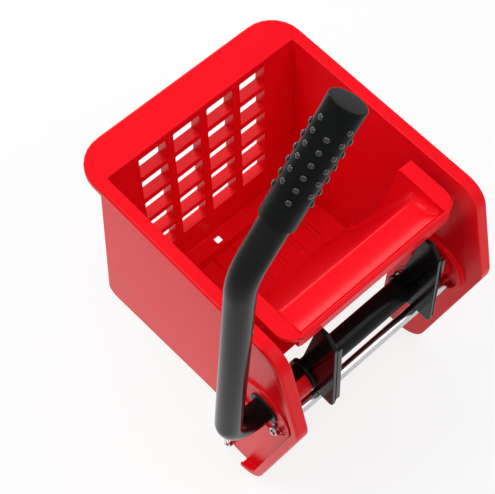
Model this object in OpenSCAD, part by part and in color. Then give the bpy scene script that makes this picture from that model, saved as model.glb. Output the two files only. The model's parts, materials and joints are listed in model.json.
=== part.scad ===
// Side press mop wringer. A moulded hopper rests with its seat rail on an upright edge.
// Its presser plate is hinged at the floor and is pushed by two cam arms on a cross shaft.
// The cross shaft is one piece with the bent tube handle.
// The origin is the middle of the underside of the seat rail. X points from the perforated wall
// to the open front, Y from the handle side to the far side, Z up. Lengths are in millimetres.

/* [Hopper] */
// Width across the outward lips of the side walls
rim_w = 265; // [255:1:275]
// Height of the rim above the seat rail
rim_h = 249; // [244:1:258]
// Outer edge of the back flange behind the origin
back_x = 195; // [190:1:200]
// Width of the flat flange along the back of the rim
flange_w = 41.5; // [40:0.5:44]
// Corner radius of the back flange
flange_r = 36; // [30:1:42]
// Thickness of the moulded walls
wall = 3.5; // [3:0.5:4]
// Outward reach of the lip from the side walls
lip_w = 10.5; // [10:0.5:14]
// Thickness of the lip
lip_t = 4; // [3:0.5:5]
// Height of the turned-down edge of the lip
bead_h = 9; // [7:1:11]
// Thickness of the turned-down edge of the lip
bead_t = 3; // [2.5:0.5:3.5]
// Lean of the perforated wall over its height
back_lean = 8; // [4:1:9]

/* [Side walls] */
// Top of the back edge
side_top_x = -162; // [-166:1:-158]
// Bottom of the back edge, along X
side_low_x = -181; // [-184:1:-176]
// Bottom of the back edge, along Z
side_low_z = -18; // [-22:1:-14]
// Radius of the lower back corner
side_low_r = 12; // [8:1:16]
// Back edge of the seat rail
seat_back_x = -13; // [-15:1:-11]
// Front edge of the seat rail, where the foot begins
seat_front_x = 12; // [10:1:14]
// Radius of the notch at the front of the seat rail
notch_r = 4; // [3:1:6]
// Drop of the feet below the seat rail
foot_drop = 103; // [100:1:110]
// Radius of the back corner of the foot
foot_back_r = 10; // [6:1:14]
// Front corner of the foot
foot_front_x = 69.5; // [66:0.5:74]
// Radius of the front corner of the foot
foot_front_r = 38; // [26:1:40]
// Foremost corner of the side wall, along X
prow_x = 124.5; // [122:0.5:128]
// Foremost corner of the side wall, along Z
prow_z = 131; // [126:1:138]
// Radius of the foremost corner
prow_r = 40; // [30:1:46]
// Front corner of the rim
shoulder_x = 92; // [90:1:95]
// Radius of the front corner of the rim
shoulder_r = 28; // [20:1:32]
// Where the lip ends under the foot
lip_end_x = 45; // [40:1:48]

/* [Louvres and floor] */
// Columns of louvres in the perforated wall
louvre_cols = 4; // [3:1:4]
// Rows of louvres in the perforated wall
louvre_rows = 5; // [5:1:6]
// Spacing of the columns
louvre_pitch_y = 43; // [42:0.5:46]
// Depth of the top row of openings below the rim
louvre_drop = 10; // [9:0.5:14]
// Height of the lowest row of sills above the ledge
louvre_foot = 45; // [42:1:50]
// Width of one louvre
louvre_w = 33; // [30:1:34]
// Thickness of the blade between two louvres
blade_t = 7.5; // [6.5:0.5:9]
// Depth of the blades from the face of the wall
louvre_depth = 14.5; // [10:0.5:15]
// Slope of the blades, down towards the back
louvre_slope = 14; // [10:1:20]
// Thickness of the collar behind each louvre
collar_t = 2.5; // [2:0.1:2.7]
// Height of the ledge at the foot of the perforated wall
ledge_z = 9; // [7:1:11]
// Width of that ledge
ledge_w = 19; // [17:1:21]
// Side of the square drain hole in the ledge
drain_w = 8; // [6:1:10]
// Top of the floor at its front end
floor_z = 2.2; // [1.6:0.1:2.3]
// Slope of the floor, down towards the back
floor_slope = 6; // [5:0.5:8]
// Number of ribs on the floor
floor_ribs = 8; // [6:1:8]
// Spacing of the floor ribs
floor_pitch = 25.6; // [24:0.2:27]
// Width of a floor rib
floor_rib_w = 4; // [3:0.5:5]
// Height of a floor rib
floor_rib_h = 4; // [3:0.5:4]
// Where the floor ribs end, along X
floor_rib_x = -62; // [-68:1:-58]

/* [Shaft and handle] */
// Cross shaft, along X
shaft_x = 68; // [66:1:70]
// Cross shaft, along Z
shaft_z = 94; // [92:1:96]
// Outside diameter of the handle tube
tube_d = 26.9; // [25.4:0.1:28]
// Wall of the handle tube
tube_t = 2; // [1.5:0.1:2.5]
// Handle upright, outside the lip of the handle side
upright_gap = 38; // [37:1:44]
// Inward lean of the upright
upright_lean = 3.2; // [2:0.1:4]
// Length of the upright between its two bends
upright_len = 316; // [300:1:330]
// Tilt of the upper part of the handle
upper_tilt = 36.2; // [30:0.2:40]
// Length of the upper part from its bend
upper_len = 170; // [160:1:180]
// Centreline radius of the lower bend
elbow_r = 42; // [36:1:42]
// Centreline radius of the upper bend
upper_bend_r = 70; // [60:1:80]
// Length of the rubber grip
grip_len = 110; // [104:1:116]
// Thickness of the rubber grip
grip_t = 2.55; // [2:0.05:3.5]
// Thickness of the closed end of the grip
grip_end_t = 4; // [3:0.5:5]
// Reach of the shaft past the far side wall
shaft_reach = 10.5; // [10:0.1:12]

/* [Bearings] */
// Wall of the shaft bushes
bush_t = 2.3; // [2:0.1:2.6]
// Flange width of the shaft bushes
bush_flange_w = 2.25; // [1.5:0.05:2.5]
// Flange thickness of the shaft bushes
bush_flange_t = 2; // [1.5:0.1:2.2]
// Thickness of the moulded bearing saddles
saddle_t = 3.45; // [2.5:0.05:3.8]
// Gap between the shaft and the moulded saddles
saddle_gap = 0.5; // [0.4:0.1:0.8]
// Length of the near saddle
near_saddle_l = 44.5; // [43:0.5:45.5]
// Length of the far saddle
far_saddle_l = 21.5; // [19:0.5:26]
// Gap between the washers of the tie rod and the round ridges about the shaft
ridge_gap = 1.4; // [1:0.1:4]
// Width and height of those ridges
ridge_w = 5; // [3:0.5:5]
// Thickness of the thrust and end washers
washer_t = 2; // [1.5:0.1:2.2]
// Diameter of the split pin
split_pin_d = 3; // [2.5:0.1:3.2]

/* [Rods] */
// Tie rod ahead of the front of the shaft
tie_ahead = 6.55; // [6.55:0.05:8.5]
// Tie rod below the underside of the shaft
tie_below = 2.55; // [2.55:0.05:4.5]
// Diameter of the tie rod
tie_d = 12; // [10:0.5:12]
// Lower rod, along X
low_x = 19.5; // [19:0.5:26]
// Lower rod, along Z
low_z = -91; // [-92:1:-66]
// Diameter of the lower rod
low_d = 10; // [8:0.5:12]
// Diameter of the threaded rod ends
stud_d = 6; // [5:0.5:6]
// Reach of the threaded ends past the side walls
stud_reach = 9; // [8:0.5:10]
// Width of the nuts across their flats
nut_w = 10; // [9:0.5:10]
// Thickness of the nuts
nut_t = 5; // [4:0.5:5.5]
// Diameter of the rod washers
rod_washer_d = 12; // [11:0.5:12]
// Thickness of the rod washers
rod_washer_t = 1.6; // [1:0.1:2]

/* [Presser] */
// Presser hinge, along X
hinge_x = -41; // [-43:1:-39]
// Presser hinge, along Z
hinge_z = 10; // [9.5:0.5:11]
// Radius of the hinge barrel
barrel_r = 9; // [8:0.5:9]
// Diameter of the hinge rod
hinge_d = 8; // [7:0.5:8]
// Gap between the hinge sockets on the side walls and the hinge barrel
socket_gap = 4; // [3:0.5:6]
// Radius of the hinge sockets
socket_r = 8; // [7:0.5:8]
// Thickness of the presser plate
plate_t = 4.5; // [4:0.5:5]
// Gap between the wings of the presser and the side walls
wing_gap = 21.5; // [20:0.5:24]
// Gap between the rim of the presser and the side walls
tray_gap = 9.5; // [8:0.5:12]
// Radius of the front corners of the presser's rim, seen from above
tray_r = 20; // [14:1:22]
// Front edge of the shelf on top of the presser, along X
shelf_x = 45; // [43:1:47]
// Drop of the shelf below the presser's rim
shelf_drop = 16; // [15:0.5:17]
// Radius of the shelf's front edge
shelf_r = 6; // [4:0.5:8]
// Depth of the shelf
shelf_w = 18; // [16:1:20]
// Rise of the slope behind the shelf
slope_h = 8; // [6:0.5:9]
// Depth of the slope behind the shelf
slope_w = 13; // [12:0.5:14]
// Back edge of the presser's lip
lip_back_x = 84; // [83:0.5:85]
// Drop of the presser's rim below the rim of the hopper
tray_drop = 10; // [9:0.5:11]
// Height of the presser's turned-down lip
lip_h = 16; // [14:0.5:16.5]
// Front end of the rim at both sides of the presser
wing_x = 18; // [16:1:22]
// Height at which the wings of the presser run into its face
wing_low_z = 48; // [40:1:60]
// Height of the rim at both sides of the presser
rim_edge_h = 5; // [4:0.5:6]

/* [Cam arms] */
// Gap between the middle of each arm and the nearest side wall
arm_gap = 50.5; // [49.5:0.5:52.5]
// Thickness of the arm plates
arm_t = 4; // [3:0.5:4]
// Width of the hub about the shaft
hub_w = 3.95; // [3:0.05:4.3]
// Gap between the arms and the tie rod, which stops them
stop_gap = 0.5; // [0.4:0.1:0.8]
// Front corner at the foot of an arm
arm_low_x = 110; // [106:1:112]
// Front corner at the shoulder of an arm, along X
arm_top_x = 103; // [100:1:104]
// Drop of the arm's shoulder below its top edge
arm_top_drop = 16; // [14:0.5:18]
// Front end of the top edge of an arm
crown_x = 91; // [89:1:92]
// Back end of the top edge of an arm
nose_x = 79; // [78:0.5:80]
// Drop of an arm's top edge below the presser's shelf
nose_drop = 4; // [3.5:0.5:6]
// Radius of the arm's nose, which slides on the presser
nose_r = 5; // [4.5:0.1:5.5]
// Gap between the nose and its track
cam_gap = 0.5; // [0.4:0.1:0.8]
// Width of the turned front flange of the near arm
near_flange_w = 10; // [8:0.5:12]
// Width of the turned front flange of the far arm
far_flange_w = 6; // [5:0.5:7]
// Reach of the spring tab of the far arm, across the arm
tab_w = 9.5; // [9:0.5:11]
// Height of the spring tab
tab_h = 24; // [22:1:28]
// Width of the cam ribs behind the presser
cam_rib_w = 12; // [10:0.5:14]

/* [Motion] */
// Turn of the handle from rest to the full press
handle_turn = 75; // [70:1:75]
// Turn of the presser for each degree of the handle
press_share = 0.4; // [0.39:0.01:0.41]

/* [Spring] */
// Diameter of the spring wire
wire_d = 2.5; // [2.2:0.1:2.6]
// Gap between the shaft and the coils
coil_gap = 0.9; // [0.7:0.1:1]
// Full turns of the spring
coil_turns = 3; // [2:1:3]
// Spacing of the coils along the shaft
coil_pitch = 3.6; // [3.4:0.1:3.8]
// Gap between the spring and what it leans on
lean_gap = 0.5; // [0.4:0.1:0.8]

/* [Hidden] */

$fn = 64;
arc_steps = 7;
overrun = wall;
fit = tube_d / 540;
seam = tube_t / 2;

half_w = rim_w / 2;
half_out = half_w - lip_w;
half_in = half_out - wall;
tube_r = tube_d / 2;
bush_r = tube_r + bush_t;
bush_flange_r = bush_r + bush_flange_w;
saddle_r = tube_r + saddle_gap + saddle_t;
hub_r = tube_r + hub_w;
grip_r = tube_r + grip_t;
arm_y = half_in - arm_gap;
tie_x = shaft_x + tube_r + tie_ahead;
tie_z = shaft_z - tube_r - tie_below;
plate_half = half_in - wing_gap;
tray_half = half_in - tray_gap;
tray_z = rim_h - tray_drop;
shelf_z = tray_z - shelf_drop;
lip_low_z = tray_z - lip_h;
nose_z = shelf_z - nose_drop;
arm_top_z = nose_z - arm_top_drop;
shaft_xz = [shaft_x, shaft_z];
hinge_xz = [hinge_x, hinge_z];
tie_xz = [tie_x, tie_z];
low_xz = [low_x, low_z];
ridge_r = norm(tie_xz - shaft_xz) + rod_washer_d / 2 + ridge_gap + ridge_w;

// Plane geometry of rounded outlines
function unit(v) = v / norm(v);
function turned(v, a) = [v.x * cos(a) - v.y * sin(a), v.x * sin(a) + v.y * cos(a)];
function before(pts, i) = pts[(i + len(pts) - 1) % len(pts)];
function after(pts, i) = pts[(i + 1) % len(pts)];
function half_angle(p, q, s) = acos(unit(p - q) * unit(s - q)) / 2;
function corner_mid(p, q, s, r) = q + unit(unit(p - q) + unit(s - q)) * r / sin(half_angle(p, q, s));
function corner_arc(p, q, s, r) =
    let (half = half_angle(p, q, s), c = corner_mid(p, q, s, r))
    let (a = q + unit(p - q) * r / tan(half) - c, b = q + unit(s - q) * r / tan(half) - c)
    let (swing = (180 - 2 * half) * sign(cross(a, b)))
    [for (i = [0:arc_steps]) c + turned(a, swing * i / arc_steps)];
function rounded(pts, radii) =
    [for (i = [0:len(pts) - 1])
        each radii[i] > 0 ? corner_arc(before(pts, i), pts[i], after(pts, i), radii[i]) : [pts[i]]];
function meet(a, u, b, v) = a + u * cross(b - a, v) / cross(u, v);
function left_of(u) = [-u.y, u.x];
function inset(pts, d) =
    [for (i = [0:len(pts) - 1])
        let (p = before(pts, i), q = pts[i], s = after(pts, i), u = unit(q - p), v = unit(s - q))
        meet(p + d * left_of(u), u, q + d * left_of(v), v)];
function inset_radii(pts, radii, d) =
    [for (i = [0:len(pts) - 1])
        let (u = pts[i] - before(pts, i), v = after(pts, i) - pts[i])
        radii[i] > 0 ? max(radii[i] - d * sign(cross(u, v)), 0) : 0];
function tangent_point(c, r, p, side) =
    let (d = p - c, a = atan2(d.y, d.x) + side * acos(r / norm(d)))
    c + r * [cos(a), sin(a)];

// A plate between two Y values with an outline in X and Z
module plate_xz(y0, y1, pts) {
    translate([0, y1, 0])
        rotate([90, 0, 0])
            linear_extrude(y1 - y0)
                polygon(pts);
}

// A round bar along Y
module bar_y(at, r, y0, y1) {
    translate([at.x, y0, at.y])
        rotate([-90, 0, 0])
            cylinder(r = r, h = y1 - y0);
}

// A ring along Y
module ring_y(at, r_in, r_out, y0, y1) {
    difference() {
        bar_y(at, r_out, y0, y1);
        bar_y(at, r_in, y0 - overrun, y1 + overrun);
    }
}

module both_sides() {
    children();
    mirror([0, 1, 0])
        children();
}

// Outline of a side wall
side_pts = [[side_low_x, side_low_z], [seat_back_x, 0], [seat_front_x, 0],
    [seat_front_x, -foot_drop], [foot_front_x, -foot_drop], [prow_x, prow_z],
    [shoulder_x, rim_h], [side_top_x, rim_h]];
side_radii = [side_low_r, 0, notch_r, foot_back_r, foot_front_r, prow_r, shoulder_r, 0];

module lip_ring(depth, y0, y1) {
    difference() {
        plate_xz(y0, y1, rounded(side_pts, side_radii));
        plate_xz(y0 - overrun, y1 + overrun,
            rounded(inset(side_pts, depth), inset_radii(side_pts, side_radii, depth)));
        translate([-back_x - overrun, y0 - overrun, -foot_drop - overrun])
            cube([back_x + lip_end_x + overrun, y1 - y0 + 2 * overrun,
                foot_drop + rim_h - depth + overrun]);
        translate([-back_x - overrun, y0 - overrun, rim_h - 2 * depth])
            cube([flange_r + overrun, y1 - y0 + 2 * overrun, 3 * depth]);
    }
}

module side_wall() {
    plate_xz(half_in, half_out, rounded(side_pts, side_radii));
    lip_ring(lip_t, half_in, half_w);
    lip_ring(bead_h, half_w - bead_t, half_w);
    ring_y(shaft_xz, ridge_r - ridge_w, ridge_r, half_in - ridge_w, half_in + wall / 2);
    ring_y(shaft_xz, ridge_r - ridge_w, ridge_r, half_out - wall / 2, half_out + ridge_w / 2);
    bar_y(hinge_xz, socket_r, plate_half + socket_gap, half_in + wall / 2);
}

// Back flange of the rim
flange_x = flange_w - back_x;
function flange_pts(d, reach) =
    rounded([[-back_x + d, half_w - d], [-back_x + d, d - half_w],
        [reach, d - half_w], [reach, half_w - d]], [flange_r - d, flange_r - d, 0, 0]);

module back_flange() {
    translate([0, 0, rim_h - lip_t])
        linear_extrude(lip_t)
            polygon(flange_pts(0, flange_x));
    difference() {
        translate([0, 0, rim_h - bead_h])
            linear_extrude(bead_h)
                polygon(flange_pts(0, flange_x));
        translate([0, 0, rim_h - bead_h - overrun])
            linear_extrude(bead_h + 2 * overrun)
                polygon(flange_pts(bead_t, flange_x + overrun));
    }
}

// Perforated wall with its louvres
wall_drop = rim_h - ledge_z;
louvre_pitch_z = (wall_drop - louvre_drop - louvre_foot + blade_t) / louvre_rows;
louvre_h = louvre_pitch_z - blade_t;
louvre_top_z = rim_h - louvre_drop - louvre_h;
function wall_face_x(z) = flange_x + back_lean * (rim_h - z) / wall_drop;
sill_drop = tan(louvre_slope);
function louvre_pts(x, z, grow, ahead) =
    [[x + ahead, z - grow + ahead * sill_drop], [x + ahead, z + louvre_h + grow + ahead * sill_drop],
    [x - louvre_depth - ahead, z + louvre_h + grow - (louvre_depth + ahead) * sill_drop],
    [x - louvre_depth - ahead, z - grow - (louvre_depth + ahead) * sill_drop]];

module louvres(grow, ahead) {
    for (col = [0:louvre_cols - 1], row = [0:louvre_rows - 1]) {
        y = (col - (louvre_cols - 1) / 2) * louvre_pitch_y;
        z = louvre_top_z - row * louvre_pitch_z;
        plate_xz(y - louvre_w / 2 - grow, y + louvre_w / 2 + grow,
            louvre_pts(wall_face_x(z), z, grow, ahead));
    }
}

module perforated_wall() {
    wall_pts = [[wall_face_x(rim_h), rim_h], [wall_face_x(rim_h) - wall, rim_h],
        [wall_face_x(ledge_z) - wall, ledge_z - wall], [wall_face_x(ledge_z), ledge_z - wall]];
    behind_pts = [[wall_face_x(rim_h) - wall / 2, rim_h - lip_t / 2], [-back_x, rim_h - lip_t / 2],
        [-back_x, ledge_z], [wall_face_x(ledge_z) - wall / 2, ledge_z]];
    difference() {
        union() {
            plate_xz(-half_in - wall / 2, half_in + wall / 2, wall_pts);
            intersection() {
                louvres(collar_t, 0);
                plate_xz(-half_in, half_in, behind_pts);
            }
        }
        louvres(0, overrun);
    }
}

// Floor, ledge and seat rail
ledge_front_x = wall_face_x(ledge_z) + ledge_w;
floor_rise = tan(floor_slope);
floor_front_x = seat_back_x - wall;
function floor_top(x) = floor_z + (x - floor_front_x) * floor_rise;
floor_back_x = ledge_front_x - wall;
floor_pts = [[floor_back_x, floor_top(floor_back_x)], [floor_back_x, floor_top(floor_back_x) - wall],
    [seat_back_x, floor_top(seat_back_x) - wall], [seat_back_x, floor_top(seat_back_x)]];
ledge_pts = [[wall_face_x(ledge_z) - wall, ledge_z], [wall_face_x(ledge_z) - wall, ledge_z - wall],
    [floor_back_x, ledge_z - wall], [floor_back_x, floor_top(floor_back_x) - wall],
    [ledge_front_x, floor_top(floor_back_x) - wall], [ledge_front_x, ledge_z]];
seat_pts = [[floor_front_x, wall], [floor_front_x, floor_top(floor_front_x) - wall / 2],
    [seat_back_x, floor_top(floor_front_x) - wall / 2], [seat_back_x, 0], [seat_front_x, 0],
    [seat_front_x, wall]];

function rib_y(i) = (i - (floor_ribs - 1) / 2) * floor_pitch;

module hopper_floor() {
    difference() {
        union() {
            plate_xz(-half_in - wall / 2, half_in + wall / 2, floor_pts);
            plate_xz(-half_in - wall / 2, half_in + wall / 2, ledge_pts);
            plate_xz(-half_in - wall / 2, half_in + wall / 2, seat_pts);
            for (i = [0:floor_ribs - 1])
                plate_xz(rib_y(i) - floor_rib_w / 2, rib_y(i) + floor_rib_w / 2, floor_rib_pts);
        }
        translate([(wall_face_x(ledge_z) + ledge_front_x - drain_w) / 2, -drain_w / 2,
            ledge_z - wall - overrun])
            cube([drain_w, drain_w, wall + 2 * overrun]);
    }
}
floor_rib_pts = [[floor_back_x, floor_top(floor_back_x) + floor_rib_h],
    [floor_back_x, floor_top(floor_back_x) - wall / 2], [floor_rib_x, floor_top(floor_rib_x) - wall / 2],
    [floor_rib_x, floor_top(floor_rib_x) + floor_rib_h / 3]];

// Half-round saddles under the shaft, open towards the back and top
saddle_turn = -20;
module saddle(y0, y1) {
    difference() {
        bar_y(shaft_xz, saddle_r, y0, y1);
        bar_y(shaft_xz, tube_r + saddle_gap, y0 - overrun, y1 + overrun);
        translate([shaft_x, y0 - overrun, shaft_z])
            rotate([0, -saddle_turn, 0])
                translate([-2 * saddle_r, 0, -2 * saddle_r])
                    cube([2 * saddle_r, y1 - y0 + 2 * overrun, 4 * saddle_r]);
    }
}

stud_r = stud_d / 2;
module wringer_body() {
    color("red")
        difference() {
            union() {
                both_sides()
                    side_wall();
                back_flange();
                perforated_wall();
                hopper_floor();
                saddle(-half_in - wall / 2, near_saddle_l - half_in);
                saddle(half_in - far_saddle_l, half_in + wall / 2);
            }
            bar_y(shaft_xz, bush_r + fit, -half_w, -half_in);
            bar_y(shaft_xz, bush_r + fit, half_in, half_w);
            bar_y(tie_xz, stud_r + fit, -half_w, half_w);
            bar_y(low_xz, stud_r + fit, -half_w, half_w);
            bar_y(hinge_xz, hinge_d / 2 + fit, -half_in, half_in);
        }
}

// Flanged bushes in the side walls
module shaft_bush() {
    color("dimgray")
        difference() {
            union() {
                bar_y(shaft_xz, bush_r, half_in + fit, half_out + bush_flange_t);
                bar_y(shaft_xz, bush_flange_r, half_out, half_out + bush_flange_t);
            }
            bar_y(shaft_xz, tube_r + fit, half_in - overrun, half_w + overrun);
        }
}

module near_shaft_bush() {
    mirror([0, 1, 0])
        shaft_bush();
}

module far_shaft_bush() {
    shaft_bush();
}

// Rods between the side walls, with reduced threaded ends
module stepped_rod(at, r) {
    bar_y(at, r, -half_in, half_in);
    bar_y(at, stud_r, -half_out - stud_reach, half_out + stud_reach);
}

module rod_nuts(at) {
    both_sides()
        difference() {
            translate([at.x, half_out + rod_washer_t, at.y])
                rotate([-90, 0, 0])
                    cylinder(d = nut_w / cos(30), h = nut_t, $fn = 6);
            bar_y(at, stud_r + fit, half_out, half_w);
        }
}

module rod_washers(at) {
    both_sides()
        ring_y(at, stud_r + fit, rod_washer_d / 2, half_out, half_out + rod_washer_t);
}

module tie_rod() {
    color("silver")
        stepped_rod(tie_xz, tie_d / 2);
}

module tie_rod_nuts() {
    color("silver")
        rod_nuts(tie_xz);
}

module tie_rod_washers() {
    color("silver")
        rod_washers(tie_xz);
}

module lower_rod() {
    color("silver")
        stepped_rod(low_xz, low_d / 2);
}

module lower_rod_nuts() {
    color("silver")
        rod_nuts(low_xz);
}

module lower_rod_washers() {
    color("silver")
        rod_washers(low_xz);
}

module hinge_rod() {
    color("silver")
        bar_y(hinge_xz, hinge_d / 2, -half_in, half_in);
}

// Presser plate
face_top = [shelf_x, shelf_z];
face_low = tangent_point(hinge_xz, barrel_r - wall / 7, face_top, 1);
face_dir = unit(face_top - face_low);
face_back = -left_of(face_dir);
back_low = face_low + plate_t * face_back;
tray_t = plate_t - wall / 7;
function back_at(z) = back_low + face_dir * (z - back_low.y) / face_dir.y;
function core_at(z) = back_at(z) - face_back * plate_t / 2;
shelf_back = [shelf_x + shelf_w, shelf_z + slope_h / 8];
slope_top = shelf_back + [slope_w, slope_h];
groove = slope_top + [slope_w, -slope_h * 2] / 8;
lip_in_x = lip_back_x - wall;
presser_pts = [hinge_xz, back_low, back_at(shelf_z - tray_t), [shelf_back.x, shelf_z - tray_t],
    [lip_in_x, slope_top.y - tray_t], [lip_in_x, lip_low_z], [lip_back_x, lip_low_z],
    [lip_back_x, tray_z], [groove.x + slope_w / 8, tray_z], groove, slope_top, shelf_back,
    face_top, face_low];
presser_radii = [0, 0, shelf_r / 2, 0, 0, 0, 0, bead_t, bead_t / 2, 0, 0, 0, shelf_r, 0];
wing_top = [wing_x, tray_z];
wing_low = core_at(wing_low_z);
wing_reach = norm(wing_top - wing_low) / 2;
wing_mid = wing_low + wing_reach * face_dir;
wing_steps = 8;
function wing_edge(t) = (1 - t) * (1 - t) * wing_top + 2 * t * (1 - t) * wing_mid + t * t * wing_low;
wing_pts = concat([wing_low, core_at(shelf_z - slope_h), [lip_in_x, shelf_z - tray_t / 2],
    [lip_back_x, lip_low_z], [lip_back_x, tray_z], wing_top],
    [for (i = [1:wing_steps - 1]) wing_edge(i / wing_steps)]);
wing_radii = concat([0, 0, 0, 0, bead_t, rim_edge_h], [for (i = [1:wing_steps - 1]) 0]);
edge_pts = [[wing_x + rim_edge_h / 2, tray_z - rim_edge_h], [lip_back_x, tray_z - rim_edge_h],
    [lip_back_x, tray_z], [wing_x, tray_z]];
edge_radii = [rim_edge_h / 3, 0, bead_t, rim_edge_h / 3];
tray_plan = rounded([[-back_x, -tray_half], [lip_back_x + fit, -tray_half],
    [lip_back_x + fit, tray_half], [-back_x, tray_half]], [0, tray_r, tray_r, 0]);

// Arm outline and the track of its nose on the presser
stop_z = tie_z + tie_d / 2 + stop_gap;
arm_pts = [[shaft_x, stop_z], [arm_low_x, stop_z], [arm_top_x, arm_top_z], [crown_x, nose_z],
    [nose_x, nose_z], [shaft_x - tube_r / 2, shaft_z + tube_r]];
arm_radii = [0, nose_r, nose_r, nose_r / 2, nose_r, 0];
nose_mid = corner_mid(arm_pts[3], arm_pts[4], arm_pts[5], nose_r);
function nose_at(t) = hinge_xz
    + turned(shaft_xz + turned(nose_mid - shaft_xz, t) - hinge_xz, -press_share * t);
track_steps = 15;
function track_dir(t) = unit(nose_at(t + 1) - nose_at(t - 1));
function track_at(t) = nose_at(t) + (nose_r + cam_gap) * [track_dir(t).y, -track_dir(t).x];
track_turn = handle_turn * (1 + 1 / track_steps);
cam_track = [for (i = [0:track_steps]) track_at(track_turn * (1 - i / track_steps))];
cam_rib_pts = concat([core_at(cam_track[0].y - cam_rib_w)], cam_track,
    [[cam_track[track_steps].x, slope_top.y - tray_t / 2], [shelf_back.x, shelf_z - tray_t / 2],
    core_at(shelf_z - slope_h)]);
stiff_low_z = hinge_z + 3 * barrel_r;
stiff_rib_pts = [core_at(stiff_low_z), back_at(stiff_low_z) + face_back * wall,
    [shelf_back.x, shelf_z - tray_t / 2], core_at(shelf_z - slope_h)];

module presser_plate() {
    color("firebrick")
        difference() {
            intersection() {
                union() {
                    plate_xz(-plate_half, plate_half, rounded(presser_pts, presser_radii));
                    both_sides() {
                        plate_xz(plate_half - plate_t, plate_half, rounded(wing_pts, wing_radii));
                        plate_xz(plate_half - plate_t, tray_half + wall, rounded(edge_pts, edge_radii));
                        plate_xz(arm_y - cam_rib_w / 2, arm_y + cam_rib_w / 2, cam_rib_pts);
                    }
                    plate_xz(-wall / 2, wall / 2, stiff_rib_pts);
                    bar_y(hinge_xz, barrel_r, -plate_half, plate_half);
                }
                translate([0, 0, -foot_drop])
                    linear_extrude(foot_drop + rim_h)
                        polygon(tray_plan);
            }
            bar_y(hinge_xz, hinge_d / 2 + fit, -half_in, half_in);
        }
}

// Bent tube handle, laid out in the plane of the shaft as pairs of Y and Z
elbow_turn = 90 + upright_lean;
upper_turn = upper_tilt - upright_lean;
elbow_cut = elbow_r * tan(elbow_turn / 2);
upper_cut = upper_bend_r * tan(upper_turn / 2);
upright_dir = [sin(upright_lean), cos(upright_lean)];
upper_dir = [sin(upper_tilt), cos(upper_tilt)];
elbow_tip = [-half_w - upright_gap, shaft_z];
upper_tip = elbow_tip + upright_len * upright_dir;
elbow_mid = elbow_tip + [elbow_cut, elbow_r];
upper_mid = upper_tip - upper_cut * upright_dir + upper_bend_r * [upright_dir.y, -upright_dir.x];
shaft_end_y = half_out + shaft_reach;
upper_end = upper_tip + upper_len * upper_dir;

module in_plane(at, a) {
    translate([shaft_x, at.x, at.y])
        rotate([90, 0, 90])
            rotate([0, 0, a])
                children();
}

module run(at, a, l, r) {
    in_plane(at, a)
        rotate([0, 90, 0])
            translate([0, 0, -seam])
                cylinder(r = r, h = l + seam);
}

module bend(at, big_r, a0, a1, r) {
    in_plane(at, a0)
        rotate_extrude(angle = a1 - a0)
            translate([big_r, 0])
                circle(r = r + fit);
}

module tube_shape(r, ahead) {
    run(elbow_tip + [elbow_cut, 0], 0, shaft_end_y - elbow_tip.x - elbow_cut + ahead, r);
    bend(elbow_mid, elbow_r, -90 - elbow_turn, -90, r);
    run(elbow_tip + elbow_cut * upright_dir, 90 - upright_lean,
        upright_len - elbow_cut - upper_cut + seam, r);
    bend(upper_mid, upper_bend_r, 180 - upper_tilt, 180 - upright_lean, r);
    run(upper_tip + upper_cut * upper_dir, 90 - upper_tilt, upper_len - upper_cut - grip_end_t + ahead, r);
}

pin_y = shaft_end_y - split_pin_d;
pin_r = split_pin_d / 2;
module handle_tube() {
    color("black")
        difference() {
            tube_shape(tube_r, 0);
            tube_shape(tube_r - tube_t, overrun);
            translate([shaft_x, pin_y, shaft_z - tube_d])
                cylinder(r = pin_r + fit, h = 2 * tube_d);
        }
}

grip_round = grip_r / 5;
module handle_grip() {
    color("black")
        in_plane(upper_end - grip_len * upper_dir, 90 - upper_tilt)
            rotate([0, 90, 0])
                difference() {
                    rotate_extrude()
                        polygon(concat([[0, 0], [grip_r - grip_round / 3, 0], [grip_r, grip_round / 3]],
                            corner_arc([grip_r, 0], [grip_r, grip_len], [0, grip_len], grip_round),
                            [[0, grip_len]]));
                    translate([0, 0, -overrun])
                        cylinder(r = tube_r + fit, h = grip_len - grip_end_t + overrun);
                }
}

// Cam arms on the shaft
flange_t = arm_t - wall / 7;
front_dir = unit(arm_pts[2] - arm_pts[1]);
front_in = left_of(front_dir) * flange_t;
flange_low = arm_pts[1] + front_dir * nose_r * 2;
flange_high = arm_pts[2] - front_dir * nose_r;
flange_strip = [flange_low, flange_high, flange_high + front_in, flange_low + front_in];
tab_low = flange_high - front_dir * tab_h;
tab_strip = [tab_low, flange_high, flange_high + front_in, tab_low + front_in];

module cam_arm(y0, y1) {
    difference() {
        union() {
            plate_xz(y0, y1, rounded(arm_pts, arm_radii));
            bar_y(shaft_xz, hub_r, y0, y1);
        }
        bar_y(shaft_xz, tube_r + fit, y0 - overrun, y1 + overrun);
    }
}

module near_cam_arm() {
    color("black") {
        cam_arm(-arm_y - arm_t / 2, -arm_y + arm_t / 2);
        plate_xz(-arm_y, -arm_y - arm_t / 2 + near_flange_w, flange_strip);
    }
}

module far_cam_arm() {
    color("black") {
        cam_arm(arm_y - arm_t / 2, arm_y + arm_t / 2);
        plate_xz(arm_y, arm_y - arm_t / 2 + far_flange_w, flange_strip);
        plate_xz(arm_y, arm_y - arm_t / 2 + tab_w, tab_strip);
    }
}

// Washers, pin and plug on the shaft
module near_thrust_washer() {
    color("white")
        ring_y(shaft_xz, tube_r + fit, hub_r, -arm_y - arm_t / 2 - washer_t, -arm_y - arm_t / 2);
}

end_washer_y = pin_y - pin_r - washer_t;
module shaft_washer() {
    color("silver")
        ring_y(shaft_xz, tube_r + fit, hub_r, end_washer_y, end_washer_y + washer_t);
}

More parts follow.
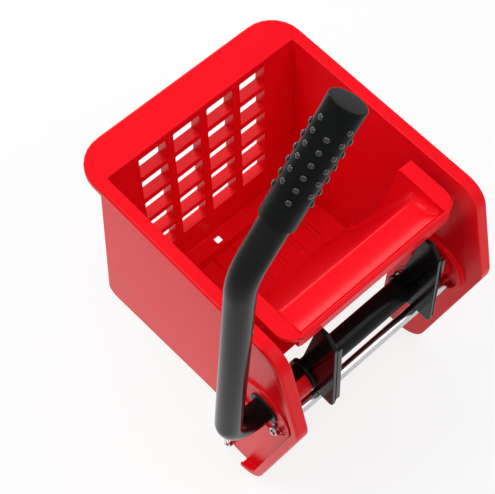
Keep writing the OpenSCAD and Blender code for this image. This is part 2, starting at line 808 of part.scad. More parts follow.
pin_reach = tube_r + split_pin_d;
module split_pin() {
    color("silver") {
        translate([shaft_x, pin_y, shaft_z - pin_reach])
            cylinder(r = pin_r, h = 2 * pin_reach);
        translate([shaft_x, pin_y, shaft_z + pin_reach + split_pin_d])
            rotate([90, 0, 0])
                rotate_extrude()
                    translate([split_pin_d, 0])
                        circle(r = pin_r * 2 / 3);
    }
}

plug_r = tube_r - tube_t - fit;
module shaft_end_plug() {
    color("dimgray")
        difference() {
            union() {
                bar_y(shaft_xz, plug_r, pin_y + split_pin_d * 2 / 3, shaft_end_y + washer_t);
                bar_y(shaft_xz, tube_r, shaft_end_y, shaft_end_y + washer_t);
            }
            bar_y(shaft_xz, plug_r - tube_t, pin_y, shaft_end_y);
        }
}

// Torsion spring: a leg under the tie rod, the coils, and a leg behind the tab of the far arm
wire_r = wire_d / 2;
coil_r = tube_r + coil_gap + wire_r;
coil_y = arm_y + arm_t / 2 + lean_gap + wire_d;
under_rod = tie_xz - [0, tie_d / 2 + wire_d + lean_gap];
leg_from = tangent_point(shaft_xz, coil_r, under_rod, -1);
leg_dir = unit(under_rod - leg_from);
leg_len = norm(under_rod - leg_from) + tie_d;
coil_start = atan2(leg_from.y - shaft_z, leg_from.x - shaft_x);
coil_sweep = 360 * coil_turns + 180 + coil_start;
coil_rise = coil_pitch * coil_sweep / 360;
leg_top = [shaft_x - coil_r, shaft_z];
tab_mid = (tab_low + flange_high) / 2 + front_in;
leg_tip = tab_mid + left_of(front_dir) * (wire_r + lean_gap);
leg_bow = [leg_top.x, leg_top.y + coil_r * 2];
rings_per_turn = 20;
leg_rings = 8;
coil_rings = ceil(rings_per_turn * coil_sweep / 360);
function lift(p, y) = [p.x, y, p.y];
function coil_at(i) = let (a = coil_start - coil_sweep * i / coil_rings)
    lift(shaft_xz + coil_r * [cos(a), sin(a)], coil_y + coil_rise * (1 - i / coil_rings));
function bow_at(t) = (1 - t) * (1 - t) * leg_top + 2 * t * (1 - t) * leg_bow + t * t * leg_tip;
spring_path = concat(
    [for (i = [0:leg_rings - 1])
        lift(leg_from + leg_dir * leg_len * (1 - i / leg_rings), coil_y + coil_rise)],
    [for (i = [0:coil_rings]) coil_at(i)],
    [for (i = [1:leg_rings]) lift(bow_at(i / leg_rings), coil_y)]);
path_last = len(spring_path) - 1;
wire_sides = 6;
function heading(i) = unit(spring_path[min(i + 1, path_last)] - spring_path[max(i - 1, 0)]);
function ring_points(i) =
    let (t = heading(i), n = unit(cross([0, 1, 0], t)), b = cross(t, n))
    [for (k = [0:wire_sides - 1])
        spring_path[i] + wire_r * (cos(360 * k / wire_sides) * n + sin(360 * k / wire_sides) * b)];
wire_points = [for (i = [0:path_last]) each ring_points(i)];
function ring_faces(i) =
    [for (k = [0:wire_sides - 1])
        let (a = i * wire_sides + k, b = i * wire_sides + (k + 1) % wire_sides)
        each [[a, b, b + wire_sides], [a, b + wire_sides, a + wire_sides]]];
last_ring = path_last * wire_sides;
wire_faces = concat(
    [for (k = [1:wire_sides - 2]) [0, k + 1, k]],
    [for (i = [0:path_last - 1]) each ring_faces(i)],
    [for (k = [1:wire_sides - 2]) [last_ring, last_ring + k, last_ring + k + 1]]);
self_gap = min([for (i = [0:path_last], j = [i + rings_per_turn / 2:1:path_last])
    norm(spring_path[i] - spring_path[j]) - wire_d]);
echo("least gap of the spring to itself", self_gap);

module return_spring() {
    color("silver")
        polyhedron(points = wire_points, faces = wire_faces);
}

wringer_body();
near_shaft_bush();
far_shaft_bush();
tie_rod();
tie_rod_nuts();
tie_rod_washers();
lower_rod();
lower_rod_nuts();
lower_rod_washers();
hinge_rod();
presser_plate();
handle_tube();
handle_grip();
near_cam_arm();
far_cam_arm();
near_thrust_washer();
shaft_washer();
split_pin();
shaft_end_plug();
return_spring();
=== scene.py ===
import json
import math

import bmesh
import bpy
from mathutils import Matrix, Vector


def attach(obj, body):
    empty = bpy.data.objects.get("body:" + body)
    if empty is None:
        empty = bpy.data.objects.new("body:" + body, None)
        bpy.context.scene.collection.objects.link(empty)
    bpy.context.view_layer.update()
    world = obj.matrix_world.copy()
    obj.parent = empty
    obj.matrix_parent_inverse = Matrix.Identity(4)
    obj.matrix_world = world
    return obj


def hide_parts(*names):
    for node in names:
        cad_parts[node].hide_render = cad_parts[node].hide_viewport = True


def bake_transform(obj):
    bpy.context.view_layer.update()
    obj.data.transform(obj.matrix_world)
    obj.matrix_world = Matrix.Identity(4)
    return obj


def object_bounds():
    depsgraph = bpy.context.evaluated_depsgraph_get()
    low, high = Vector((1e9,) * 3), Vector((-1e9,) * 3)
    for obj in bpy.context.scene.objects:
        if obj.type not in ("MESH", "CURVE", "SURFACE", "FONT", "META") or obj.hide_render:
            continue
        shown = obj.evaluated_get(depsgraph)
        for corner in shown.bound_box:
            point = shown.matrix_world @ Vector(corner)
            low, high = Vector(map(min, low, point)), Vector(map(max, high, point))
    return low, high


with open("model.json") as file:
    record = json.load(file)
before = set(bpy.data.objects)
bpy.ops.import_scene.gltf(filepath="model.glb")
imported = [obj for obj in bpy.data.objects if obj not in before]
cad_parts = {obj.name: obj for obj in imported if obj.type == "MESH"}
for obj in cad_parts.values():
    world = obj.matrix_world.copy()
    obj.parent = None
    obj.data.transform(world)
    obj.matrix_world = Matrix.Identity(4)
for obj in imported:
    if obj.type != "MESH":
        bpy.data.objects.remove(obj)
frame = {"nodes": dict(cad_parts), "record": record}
cadLow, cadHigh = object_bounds()
print("frame loaded:", len(frame["nodes"]), "nodes")

mm = 0.001
weldGap = 0.002 * mm  # between the loose triangles of a node's copy
seamGap = 0.001 * mm  # at the seams of a new piece


# course of the bent tube handle, in millimetres and degrees
tube = {
    "radius": 13.45, "boreRadius": 11.45, "shaftX": 68.0, "shaftZ": 94.0, "farEnd": 132.5,
    "elbowTip": -170.5, "elbowRadius": 42.0, "elbowSteps": 22, "lean": 3.2, "uprightLength": 316.0,
    "upperBendRadius": 70.0, "upperSteps": 14, "tilt": 36.2, "upperLength": 170.0,
    "belowGripTop": 4.0, "sides": 48, "smoothAngle": 40,
    "endSplit": 300.0,  # a height between the two open ends
}


def inPlane(y, z):
    return Vector((tube["shaftX"] * mm, y * mm, z * mm))


def leaning(degrees):
    return Vector((0, math.sin(math.radians(degrees)), math.cos(math.radians(degrees))))


elbowTurn = math.radians(90 + tube["lean"])
upperTurn = math.radians(tube["tilt"] - tube["lean"])
elbowCut = tube["elbowRadius"] * math.tan(elbowTurn / 2)
upperCut = tube["upperBendRadius"] * math.tan(upperTurn / 2)
leanDir = leaning(tube["lean"])
tiltDir = leaning(tube["tilt"])
elbowTip = inPlane(tube["elbowTip"], tube["shaftZ"])
upperTip = elbowTip + leanDir * tube["uprightLength"] * mm
gripTop = upperTip + tiltDir * tube["upperLength"] * mm


# shader sums written as plain arithmetic
class Shade:
    def __init__(self, tree, socket):
        self.tree = tree
        self.socket = socket

    def maths(self, operation, a, b):
        return makeNode(self.tree, "ShaderNodeMath", {"operation": operation}, {0: a, 1: b})

    def __add__(self, other):
        return self.maths("ADD", self, other)

    def __radd__(self, other):
        return self.maths("ADD", other, self)

    def __sub__(self, other):
        return self.maths("SUBTRACT", self, other)

    def __rsub__(self, other):
        return self.maths("SUBTRACT", other, self)

    def __mul__(self, other):
        return self.maths("MULTIPLY", self, other)

    def __rmul__(self, other):
        return self.maths("MULTIPLY", other, self)


def makeNode(tree, kind, settings=None, inputs=None, output=0):
    node = tree.nodes.new(kind)
    for name, value in (settings or {}).items():
        setattr(node, name, value)
    for name, value in (inputs or {}).items():
        if isinstance(value, Shade):
            tree.links.new(value.socket, node.inputs[name])
        else:
            node.inputs[name].default_value = value
    return Shade(tree, node.outputs[output]) if len(node.outputs) else None


def newMaterial(name, constants):
    material = bpy.data.materials.new(name)
    material.use_nodes = True
    tree = material.node_tree
    shader = tree.nodes["Principled BSDF"]
    for socket, value in constants.items():
        shader.inputs[socket].default_value = value
    return material, tree, shader


def feed(tree, shader, socket, value):
    tree.links.new(value.socket, shader.inputs[socket])


def colourMix(tree, factor, low, high):
    # 6, 7 and 2 are the node's colour sockets
    return makeNode(tree, "ShaderNodeMix", {"data_type": "RGBA"}, {0: factor, 6: low, 7: high}, output=2)


def vectorMaths(tree, operation, inputs, output="Vector"):
    return makeNode(tree, "ShaderNodeVectorMath", {"operation": operation}, inputs, output)


def objectPoint(tree):
    return makeNode(tree, "ShaderNodeTexCoord", output="Object")


def noise(tree, point, scale, detail=2.0):
    return makeNode(tree, "ShaderNodeTexNoise", None, {"Vector": point, "Scale": scale, "Detail": detail})


noiseMiddle = 0.5


# colour and gloss that drift a little over a face
def drift(tree, shader, point, finish):
    cloud = noise(tree, point, finish["cloudScale"], finish["cloudDetail"])
    feed(tree, shader, "Base Color", colourMix(tree, cloud, finish["low"], finish["high"]))
    feed(tree, shader, "Roughness", finish["rough"] + (cloud - noiseMiddle) * finish["roughSpread"])


# fine unevenness of a moulded or coated face
def grain(tree, shader, point, finish):
    fine = noise(tree, point, finish["grainScale"])
    bump = makeNode(tree, "ShaderNodeBump", None, {
        "Strength": finish["grain"], "Distance": finish["grainDepth"], "Height": fine})
    feed(tree, shader, "Normal", bump)


# red moulded polypropylene
redPlastic = {
    "low": (0.74, 0.002, 0.008, 1), "high": (0.84, 0.004, 0.012, 1),
    "cloudScale": 9.0, "cloudDetail": 3.0, "rough": 0.30, "roughSpread": 0.10,
    "grain": 0.03, "grainScale": 420.0, "grainDepth": 0.4 * mm, "ior": 1.49, "specular": 0.1,
}


def makeRedPlastic():
    material, tree, shader = newMaterial("red_polypropylene", {
        "IOR": redPlastic["ior"], "Specular IOR Level": redPlastic["specular"]})
    point = objectPoint(tree)
    drift(tree, shader, point, redPlastic)
    grain(tree, shader, point, redPlastic)
    return material


# satin black coat on the steel tube and arms
blackCoat = {
    "low": (0.004, 0.004, 0.0045, 1), "high": (0.007, 0.007, 0.0075, 1),
    "cloudScale": 30.0, "cloudDetail": 4.0, "rough": 0.16, "roughSpread": 0.06,
    "grain": 0.02, "grainScale": 900.0, "grainDepth": 0.3 * mm, "ior": 1.5, "specular": 0.1,
}


def makeBlackCoat():
    material, tree, shader = newMaterial("black_powder_coat", {
        "IOR": blackCoat["ior"], "Specular IOR Level": blackCoat["specular"]})
    point = objectPoint(tree)
    drift(tree, shader, point, blackCoat)
    grain(tree, shader, point, blackCoat)
    return material


# matt rubber of the grip, worn shiny on the tops of its bumps
gripRubber = {
    "low": (0.002, 0.0024, 0.0024, 1), "high": (0.004, 0.0046, 0.0046, 1),
    "cloudScale": 40.0, "cloudDetail": 3.0, "rough": 0.28, "roughSpread": 0.10,
    "grain": 0.03, "grainScale": 1500.0, "grainDepth": 0.3 * mm, "ior": 1.45, "specular": 0.07,
    "wornFrom": 16.35 * mm, "wornRise": 4000.0, "wornRough": 0.06, "wornIor": 1.45,
}


def makeGripRubber():
    material, tree, shader = newMaterial("grip_rubber", {
        "IOR": gripRubber["ior"], "Specular IOR Level": gripRubber["specular"],
        "Coat Roughness": gripRubber["wornRough"], "Coat IOR": gripRubber["wornIor"]})
    point = objectPoint(tree)
    away = vectorMaths(tree, "SUBTRACT", {0: point, 1: gripTop})
    across = vectorMaths(tree, "CROSS_PRODUCT", {0: away, 1: tiltDir})
    fromAxis = vectorMaths(tree, "LENGTH", {0: across}, "Value")
    worn = makeNode(tree, "ShaderNodeMath", {"operation": "MULTIPLY", "use_clamp": True},
                    {0: fromAxis - gripRubber["wornFrom"], 1: gripRubber["wornRise"]})
    feed(tree, shader, "Coat Weight", worn)
    drift(tree, shader, point, gripRubber)
    grain(tree, shader, point, gripRubber)
    return material


# bright plated steel of rods, nuts, washers, pin and spring
brightSteel = {
    "low": (0.44, 0.45, 0.46, 1), "high": (0.62, 0.62, 0.63, 1),
    "cloudScale": 120.0, "cloudDetail": 3.0, "rough": 0.14, "roughSpread": 0.10,
}


def makeBrightSteel():
    material, tree, shader = newMaterial("bright_plated_steel", {"Metallic": 1.0})
    drift(tree, shader, objectPoint(tree), brightSteel)
    return material


# black nylon of bushes, thrust washer and plug
blackNylon = {
    "low": (0.008, 0.008, 0.0085, 1), "high": (0.014, 0.014, 0.015, 1),
    "cloudScale": 60.0, "cloudDetail": 3.0, "rough": 0.45, "roughSpread": 0.20, "ior": 1.5, "specular": 0.3,
}


def makeBlackNylon():
    material, tree, shader = newMaterial("black_nylon", {
        "IOR": blackNylon["ior"], "Specular IOR Level": blackNylon["specular"]})
    drift(tree, shader, objectPoint(tree), blackNylon)
    return material


finishes = {
    "red_plastic": makeRedPlastic(), "black_coat": makeBlackCoat(), "black_rubber": makeGripRubber(),
    "bright_steel": makeBrightSteel(), "black_nylon": makeBlackNylon(),
}
print("finishes made:", len(finishes))


def addObject(name, data):
    item = bpy.data.objects.new(name, data)
    bpy.context.scene.collection.objects.link(item)
    return item


def finishPiece(bm, name, body, slotName, nodes, smoothAngle=35):
    mesh = bpy.data.meshes.new(name)
    bm.to_mesh(mesh)
    bm.free()
    piece = addObject(name, mesh)
    mesh.materials.append(finishes[slotName])
    mesh.shade_smooth()
    mesh.set_sharp_from_angle(angle=math.radians(smoothAngle))
    if body:
        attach(piece, body)
    if nodes:
        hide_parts(*nodes)
    return piece


def mergedCopy(node):
    bm = bmesh.new()
    bm.from_mesh(frame["nodes"][node].data)
    bmesh.ops.remove_doubles(bm, verts=bm.verts, dist=weldGap)
    return bm


def onlyEdges(geom):
    return [g for g in geom if isinstance(g, bmesh.types.BMEdge)]


def pushLoop(bm, edges, step):
    grown = bmesh.ops.extrude_edge_only(bm, edges=edges)["geom"]
    verts = [g for g in grown if isinstance(g, bmesh.types.BMVert)]
    bmesh.ops.translate(bm, verts=verts, vec=step)
    return [e for e in onlyEdges(grown) if all(v in verts for v in e.verts)]


def closeEnds(bm):
    bmesh.ops.holes_fill(bm, edges=[e for e in bm.edges if e.is_boundary], sides=0)
    bmesh.ops.recalc_face_normals(bm, faces=bm.faces)


def softEdges(piece, width, segments, angle=38):
    soft = piece.modifiers.new("soft_edges", "BEVEL")
    soft.width = width
    soft.segments = segments
    soft.limit_method = "ANGLE"
    soft.angle_limit = math.radians(angle)
    soft.use_clamp_overlap = False
    soft.miter_outer = "MITER_ARC"
    even = piece.modifiers.new("even_shading", "WEIGHTED_NORMAL")
    even.keep_sharp = True


# soft edges of the two mouldings
moulding = {
    "edgeSegments": 3, "rimSegments": 5, "flatAngle": 0.5, "sharpTurn": 50,
    "middle": Vector((-20, 0, 120)) * mm, "reach": 0.1 * mm,
}


def flatten(bm, keep):
    edges = [e for e in bm.edges if not any(keep(v.co) for v in e.verts)]
    verts = [v for v in bm.verts if not keep(v.co)]
    bmesh.ops.dissolve_limit(bm, angle_limit=math.radians(moulding["flatAngle"]), verts=verts, edges=edges)
    bm.normal_update()


def outward(edge):
    arm = (edge.verts[0].co + edge.verts[1].co) / 2 - moulding["middle"]
    if len(edge.link_faces) != 2 or edge.calc_face_angle(0) < math.radians(moulding["sharpTurn"]):
        return False
    return all(f.normal.dot(arm) > 0 for f in edge.link_faces)


def roundRim(bm, onRim, offset):
    rim = [e for e in bm.edges if onRim(e.verts[0].co, e.verts[1].co) and outward(e)]
    bmesh.ops.bevel(bm, geom=rim, offset=offset, offset_type="OFFSET", segments=moulding["rimSegments"],
                    profile=0.5, affect="EDGES", clamp_overlap=True, material=-1)


# moulded hopper
hopper = {
    "edge": 1.0 * mm, "rimSoft": 3.0 * mm,
    "rimHalf": 132.5 * mm, "rimTop": 249 * mm, "flangeFront": -155 * mm,
    "wallFace": -140 * mm, "louvreHalf": 117 * mm, "louvreTop": 248 * mm,
}


def amongLouvres(at):
    inside = abs(at.y) < hopper["louvreHalf"] and at.z < hopper["louvreTop"]
    return inside and at.x < hopper["wallFace"]


def onHopperRim(a, b):
    onSide = min(abs(a.y), abs(b.y)) > hopper["rimHalf"] - moulding["reach"]
    onTop = min(a.z, b.z) > hopper["rimTop"] - moulding["reach"]
    return onSide or (onTop and max(a.x, b.x) < hopper["flangeFront"])


def mouldedHopper():
    bm = mergedCopy("wringer_body")
    flatten(bm, amongLouvres)
    roundRim(bm, onHopperRim, hopper["rimSoft"])
    piece = finishPiece(bm, "moulded_hopper", "body", "red_plastic", ["wringer_body"])
    softEdges(piece, hopper["edge"], moulding["edgeSegments"])


# moulded presser
presser = {
    "edge": 0.7 * mm, "rimSoft": 1.8 * mm, "trayTop": 239 * mm, "trayInner": 90 * mm, "smoothAngle": 24,
}


def onTrayRim(a, b):
    onTop = min(a.z, b.z) > presser["trayTop"] - moulding["reach"]
    return onTop and min(abs(a.y), abs(b.y)) > presser["trayInner"]


def mouldedPresser():
    bm = mergedCopy("presser_plate")
    flatten(bm, lambda at: False)
    roundRim(bm, onTrayRim, presser["rimSoft"])
    piece = finishPiece(bm, "moulded_presser", "presser", "red_plastic", ["presser_plate"],
                        presser["smoothAngle"])
    softEdges(piece, presser["edge"], moulding["edgeSegments"])


mouldedHopper()
mouldedPresser()
print("moulded pieces made")


# hollow fillets where the presser's face and shelf run into its wings, in millimetres and degrees
cove = {
    "wing": 92.6, "steps": 9, "sunk": 0.08, "smoothAngle": 30,
    "path": [(-26.1, 64), (-8.2, 104), (9.7, 144), (27.6, 184), (36.5, 204), (42.3, 217), (43.9, 219.9),
             (46.4, 222.2), (50.0, 223.2), (57.0, 223.7), (62.0, 223.9), (65.5, 225.4), (75.0, 231.4)],
    "radius": [0.6, 3.2, 6.0, 9.0, 10.5, 11.5, 11.5, 11.5, 11.5, 11.0, 10.5, 9.5, 5.5],
    "lean": [-65.9, -65.9, -65.9, -65.9, -65.9, -62, -48, -30, -10, -3.2, -8, -31.6, -31.6],
}


def presserCove(name, side):
    bm = bmesh.new()
    places = [Vector((x, side * cove["wing"], z)) * mm for x, z in cove["path"]]
    angles = [math.radians(90 * i / cove["steps"]) for i in range(cove["steps"] + 1)]
    outline = [(1 - math.cos(a), math.sin(a) - 1) for a in angles]
    outline += [(1, cove["sunk"]), (-cove["sunk"], cove["sunk"]), (-cove["sunk"], -1)]
    size = cove["radius"][0] * mm
    verts = [bm.verts.new((0, side * w * size, u * size)) for u, w in outline]
    for a, b in zip(verts, verts[1:] + verts[:1]):
        bm.edges.new((a, b))
    firstTurn = Matrix.Rotation(math.radians(cove["lean"][0]), 3, "Y")
    bmesh.ops.rotate(bm, verts=verts, cent=(0, 0, 0), matrix=firstTurn)
    bmesh.ops.translate(bm, verts=verts, vec=places[0])
    edges = list(bm.edges)
    for i in range(1, len(places)):
        edges = pushLoop(bm, edges, places[i] - places[i - 1])
        loop = list({v for e in edges for v in e.verts})
        turn = Matrix.Rotation(math.radians(cove["lean"][i] - cove["lean"][i - 1]), 3, "Y")
        bmesh.ops.rotate(bm, verts=loop, cent=places[i], matrix=turn)
        grow = cove["radius"][i] / cove["radius"][i - 1]
        bmesh.ops.scale(bm, verts=loop, vec=(grow, grow, grow), space=Matrix.Translation(-places[i]))
    closeEnds(bm)
    finishPiece(bm, name, "presser", "red_plastic", [], cove["smoothAngle"])


presserCove("presser_cove_near", -1)
presserCove("presser_cove_far", 1)
print("presser fillets made")


# bent tube handle
def turnLoop(bm, edges, centre, angle, steps):
    turned = bmesh.ops.spin(bm, geom=edges, cent=centre, axis=(1, 0, 0), angle=angle, steps=steps,
                            use_merge=False)
    return onlyEdges(turned["geom_last"])


def sweptTube(radius):
    bm = bmesh.new()
    ring = bmesh.ops.create_circle(bm, segments=tube["sides"], radius=radius * mm)["verts"]
    bmesh.ops.rotate(bm, verts=ring, cent=(0, 0, 0), matrix=Matrix.Rotation(math.radians(90), 3, "X"))
    bmesh.ops.translate(bm, verts=ring, vec=inPlane(tube["farEnd"], tube["shaftZ"]))
    edges = pushLoop(bm, list(bm.edges), Vector((0, (tube["elbowTip"] + elbowCut - tube["farEnd"]) * mm, 0)))
    elbowCentre = elbowTip + Vector((0, elbowCut * mm, tube["elbowRadius"] * mm))
    edges = turnLoop(bm, edges, elbowCentre, -elbowTurn, tube["elbowSteps"])
    edges = pushLoop(bm, edges, leanDir * (tube["uprightLength"] - elbowCut - upperCut) * mm)
    acrossLean = Vector((0, leanDir.z, -leanDir.y))
    upperCentre = upperTip - leanDir * upperCut * mm + acrossLean * tube["upperBendRadius"] * mm
    edges = turnLoop(bm, edges, upperCentre, -upperTurn, tube["upperSteps"])
    pushLoop(bm, edges, tiltDir * (tube["upperLength"] - upperCut - tube["belowGripTop"]) * mm)
    bmesh.ops.remove_doubles(bm, verts=bm.verts, dist=seamGap)
    return bm


def handleTube():
    bm = sweptTube(tube["radius"])
    inner = sweptTube(tube["boreRadius"])
    spare = bpy.data.meshes.new("tube_bore")
    inner.to_mesh(spare)
    inner.free()
    bm.from_mesh(spare)
    bpy.data.meshes.remove(spare)
    rims = [e for e in bm.edges if e.is_boundary]
    for atTop in (False, True):
        end = [e for e in rims if (e.verts[0].co.z > tube["endSplit"] * mm) == atTop]
        bmesh.ops.bridge_loops(bm, edges=end)
    bmesh.ops.recalc_face_normals(bm, faces=bm.faces)
    finishPiece(bm, "bent_tube", "handle", "black_coat", ["handle_tube"], tube["smoothAngle"])


handleTube()


# rubber grip with rows of bumps, in millimetres and degrees
grip = {
    "radius": 16.0, "length": 110.0, "mouth": [(13.5, 0), (15.3, 0), (15.8, 0.2), (16.0, 0.7)],
    "round": 0.9, "roundSteps": 8, "topFlat": 5.0, "sides": 64, "smoothAngle": 40,
    "rows": 8, "firstRow": 26.6, "oddShift": 0.95, "bumps": 6, "firstBump": 25.2, "bumpPitch": 11.6,
    "bumpRadius": 2.7, "bumpHeight": 1.7, "bumpSunk": 0.05, "bumpCuts": 3,
}


def gripBump(bm, turn, height):
    dome = bmesh.ops.create_icosphere(bm, subdivisions=grip["bumpCuts"], radius=1.0)["verts"]
    across = grip["bumpRadius"] * mm
    bmesh.ops.scale(bm, verts=dome, vec=(grip["bumpHeight"] * mm, across, across))
    bmesh.ops.translate(bm, verts=dome, vec=((grip["radius"] - grip["bumpSunk"]) * mm, 0, height * mm))
    bmesh.ops.rotate(bm, verts=dome, cent=(0, 0, 0), matrix=Matrix.Rotation(turn, 3, "Z"))


def handleGrip():
    bm = bmesh.new()
    outline = grip["mouth"] + [(grip["radius"], grip["length"] - grip["round"])]
    for i in range(1, grip["roundSteps"] + 1):
        a = math.radians(90 * i / grip["roundSteps"])
        inward, down = grip["round"] * (1 - math.cos(a)), grip["round"] * (1 - math.sin(a))
        outline.append((grip["radius"] - inward, grip["length"] - down))
    outline += [(grip["topFlat"], grip["length"]), (0.0, grip["length"])]
    verts = [bm.verts.new((r * mm, 0, h * mm)) for r, h in outline]
    for a, b in zip(verts, verts[1:]):
        bm.edges.new((a, b))
    bmesh.ops.spin(bm, geom=list(bm.verts) + list(bm.edges), cent=(0, 0, 0), axis=(0, 0, 1),
                   angle=math.tau, steps=grip["sides"], use_merge=True)
    bmesh.ops.remove_doubles(bm, verts=bm.verts, dist=seamGap)
    bmesh.ops.recalc_face_normals(bm, faces=bm.faces)
    for row in range(grip["rows"]):
        turn = math.tau * row / grip["rows"] + math.radians(grip["firstRow"])
        for step in range(grip["bumps"]):
            height = grip["firstBump"] + grip["bumpPitch"] * (step + grip["oddShift"] * (row % 2))
            gripBump(bm, turn, height)
    bmesh.ops.rotate(bm, verts=bm.verts, cent=(0, 0, 0), matrix=tiltDir.to_track_quat("Z", "X").to_matrix())
    bmesh.ops.translate(bm, verts=bm.verts, vec=gripTop - tiltDir * grip["length"] * mm)
    finishPiece(bm, "rubber_grip", "handle", "black_rubber", ["handle_grip"], grip["smoothAngle"])


handleGrip()
print("handle made")


# return spring, wound round the shaft, in millimetres
spring = {
    "wire": 1.25, "coil": 15.6, "turns": 3, "pitch": 3.6, "nearY": 73.0,
    "underRod": (88.0, 69.0), "legPast": 12.0, "tabPoint": (98.76, 185.72), "bow": 31.2,
    "sides": 12, "stepsPerTurn": 40, "legSteps": 14, "blendClear": 0.1, "smoothAngle": 50,
}


def armLeg(foot):
    bow = foot + Vector((0, 0, spring["bow"]))
    end = Vector((spring["tabPoint"][0], 0, spring["tabPoint"][1]))
    shares = [i / spring["legSteps"] for i in range(spring["legSteps"] + 1)]
    return [(1 - t) ** 2 * foot + 2 * t * (1 - t) * bow + t * t * end for t in shares]


def returnSpring():
    shaft = Vector((tube["shaftX"], 0, tube["shaftZ"]))
    under = Vector((spring["underRod"][0], 0, spring["underRod"][1])) - shaft
    start = math.atan2(under.z, under.x) - math.acos(spring["coil"] / under.length)
    sweep = math.tau * spring["turns"] + math.pi + start
    rise = spring["pitch"] * sweep / math.tau
    touch = shaft + spring["coil"] * Vector((math.cos(start), 0, math.sin(start)))
    rodLeg = shaft + under - touch
    tip = touch + rodLeg * (1 + spring["legPast"] / rodLeg.length)

    # straight leg under the rod, then the coils
    bm = bmesh.new()
    ring = bmesh.ops.create_circle(bm, segments=spring["sides"], radius=spring["wire"] * mm)["verts"]
    bmesh.ops.rotate(bm, verts=ring, cent=(0, 0, 0), matrix=(-rodLeg).to_track_quat("Z", "Y").to_matrix())
    bmesh.ops.translate(bm, verts=ring, vec=Vector((tip.x, spring["nearY"] + rise, tip.z)) * mm)
    edges = pushLoop(bm, list(bm.edges), (touch - tip) * mm)
    steps = round(spring["stepsPerTurn"] * sweep / math.tau)
    wound = bmesh.ops.spin(bm, geom=edges, cent=shaft * mm, axis=(0, 1, 0), angle=sweep, steps=steps,
                           dvec=(0, -rise * mm / steps, 0), use_merge=False)
    edges = onlyEdges(wound["geom_last"])

    # bowed leg up to the arm's tab
    points = armLeg(shaft - Vector((spring["coil"], 0, 0)))
    heading = Vector((0, 0, 1))
    for i in range(spring["legSteps"]):
        edges = pushLoop(bm, edges, (points[i + 1] - points[i]) * mm)
        ahead = (points[min(i + 2, spring["legSteps"])] - points[i]).normalized()
        verts = list({v for e in edges for v in e.verts})
        centre = Vector((points[i + 1].x, spring["nearY"], points[i + 1].z)) * mm
        bmesh.ops.rotate(bm, verts=verts, cent=centre, matrix=heading.rotation_difference(ahead).to_matrix())
        heading = ahead
    bmesh.ops.remove_doubles(bm, verts=bm.verts, dist=seamGap)
    closeEnds(bm)
    piece = finishPiece(bm, "wound_spring", None, "bright_steel", ["return_spring"], spring["smoothAngle"])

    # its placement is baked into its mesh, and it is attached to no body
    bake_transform(piece)


returnSpring()
print("spring wound")


# steel pieces with broken edges, and their widths in millimetres
steelEdges = {
    "near_cam_arm": 0.6, "far_cam_arm": 0.6, "tie_rod": 0.5, "lower_rod": 0.5,
    "tie_rod_nuts": 0.5, "lower_rod_nuts": 0.5,
}
steelSegments = 2

slotOf = {part["node"]: part["material_slot"] for part in frame["record"]["subparts"]}
bodyOf = {node: body for body, nodes in frame["record"]["behaviour"]["bodies"].items() for node in nodes}
for node, width in steelEdges.items():
    piece = finishPiece(mergedCopy(node), node + "_soft", bodyOf[node], slotOf[node], [node])
    softEdges(piece, width * mm, steelSegments)
print("steel edges broken:", len(steelEdges))

for node, slotName in slotOf.items():
    cadMesh = frame["nodes"][node].data
    cadMesh.materials.clear()
    cadMesh.materials.append(finishes[slotName])


# camera, with its places in millimetres and pixels
lens = {
    "place": (409.8, -468.4, 1320.0), "back": (0.3521, -0.3259, 0.8774), "roll": 0.3, "focal": 1349.99,
    "middle": (242.51, 240.54), "size": (495, 494), "sensor": 36.0, "clip": (0.05, 50),
}


def addCamera():
    data = bpy.data.cameras.new("photo_view")
    data.sensor_fit = "HORIZONTAL"
    data.sensor_width = lens["sensor"]
    wide, high = lens["size"]
    data.lens = lens["focal"] * lens["sensor"] / wide
    data.shift_x = (wide / 2 - lens["middle"][0]) / wide
    data.shift_y = -(high / 2 - lens["middle"][1]) / wide
    data.clip_start, data.clip_end = lens["clip"]
    camera = addObject("photo_view", data)
    back = Vector(lens["back"]).normalized()
    right = Vector((0, 0, 1)).cross(back).normalized()
    up = back.cross(right)
    turn = Matrix((right, up, back)).transposed() @ Matrix.Rotation(math.radians(lens["roll"]), 3, "Z")
    camera.matrix_world = Matrix.Translation(Vector(lens["place"]) * mm) @ turn.to_4x4()
    bpy.context.scene.camera = camera


# soft lamps, in metres and watts
softboxes = {
    "key": {"place": (-0.6, -0.85, 2.1), "target": (0, 0, 0.1), "size": (0.8, 0.8), "watts": 19.5},
    "front": {"place": (0.9, 0.2, 2.0), "target": (0, 0, 0.1), "size": (1.6, 1.6), "watts": 15},
    "back": {"place": (-1.9, 0.6, 0.8), "target": (0.06, 0, 0.22), "size": (1.0, 0.4), "watts": 14},
}


def addSoftbox(name, box):
    data = bpy.data.lights.new(name, "AREA")
    data.shape = "RECTANGLE"
    data.size, data.size_y = box["size"]
    data.energy = box["watts"]
    lamp = addObject(name, data)
    lamp.location = box["place"]
    lamp.rotation_euler = (Vector(box["target"]) - Vector(box["place"])).to_track_quat("-Z", "Y").to_euler()


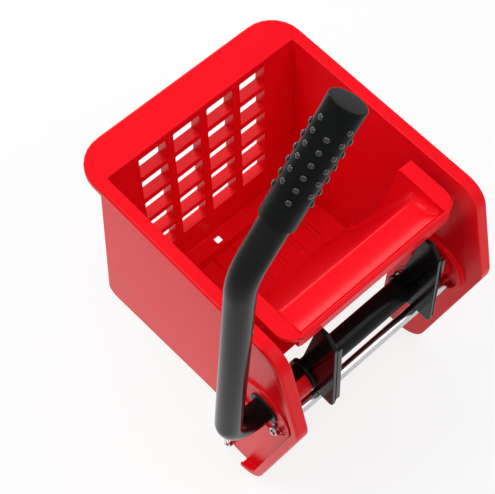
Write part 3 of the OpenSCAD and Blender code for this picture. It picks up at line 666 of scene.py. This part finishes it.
# pale floor and surroundings, seen white by the camera, in mirrors and through clear pieces
studio = {
    "floorReach": 6.0, "floorGap": 0.5 * mm, "floorGrey": (0.86, 0.86, 0.86, 1), "floorWhite": 0.8,
    "white": (1, 1, 1, 1), "fullStrength": 1.0, "dimStrength": 0.5,
}


def seenStraight(tree):
    camera, glossy, clear = [makeNode(tree, "ShaderNodeLightPath", output=f"Is {kind} Ray")
                             for kind in ("Camera", "Glossy", "Transmission")]
    return camera.maths("MAXIMUM", camera.maths("MAXIMUM", camera, glossy), clear)


def glow(tree, kind, strength):
    return makeNode(tree, kind, None, {"Color": studio["white"], "Strength": strength})


def showMixed(tree, outputKind, factor, plain, white):
    mixed = makeNode(tree, "ShaderNodeMixShader", None, {0: factor, 1: plain, 2: white})
    makeNode(tree, outputKind, None, {"Surface": mixed})


def addFloor():
    bm = bmesh.new()
    bmesh.ops.create_grid(bm, x_segments=1, y_segments=1, size=studio["floorReach"])
    bmesh.ops.translate(bm, verts=bm.verts, vec=(0, 0, cadLow.z - studio["floorGap"]))
    mesh = bpy.data.meshes.new("pale_floor")
    bm.to_mesh(mesh)
    bm.free()
    floor = addObject("pale_floor", mesh)
    material = bpy.data.materials.new("pale_floor")
    material.use_nodes = True
    tree = material.node_tree
    tree.nodes.clear()
    matt = makeNode(tree, "ShaderNodeBsdfDiffuse", None, {"Color": studio["floorGrey"]})
    white = glow(tree, "ShaderNodeEmission", studio["fullStrength"])
    showMixed(tree, "ShaderNodeOutputMaterial", seenStraight(tree) * studio["floorWhite"], matt, white)
    mesh.materials.append(material)


def addWorld():
    world = bpy.data.worlds.new("studio")
    world.use_nodes = True
    bpy.context.scene.world = world
    tree = world.node_tree
    tree.nodes.clear()
    dim = glow(tree, "ShaderNodeBackground", studio["dimStrength"])
    white = glow(tree, "ShaderNodeBackground", studio["fullStrength"])
    showMixed(tree, "ShaderNodeOutputWorld", seenStraight(tree), dim, white)


addCamera()
for name, box in softboxes.items():
    addSoftbox(name, box)
addFloor()
addWorld()
bpy.context.scene.view_settings.view_transform = "Standard"

print("scene ready")
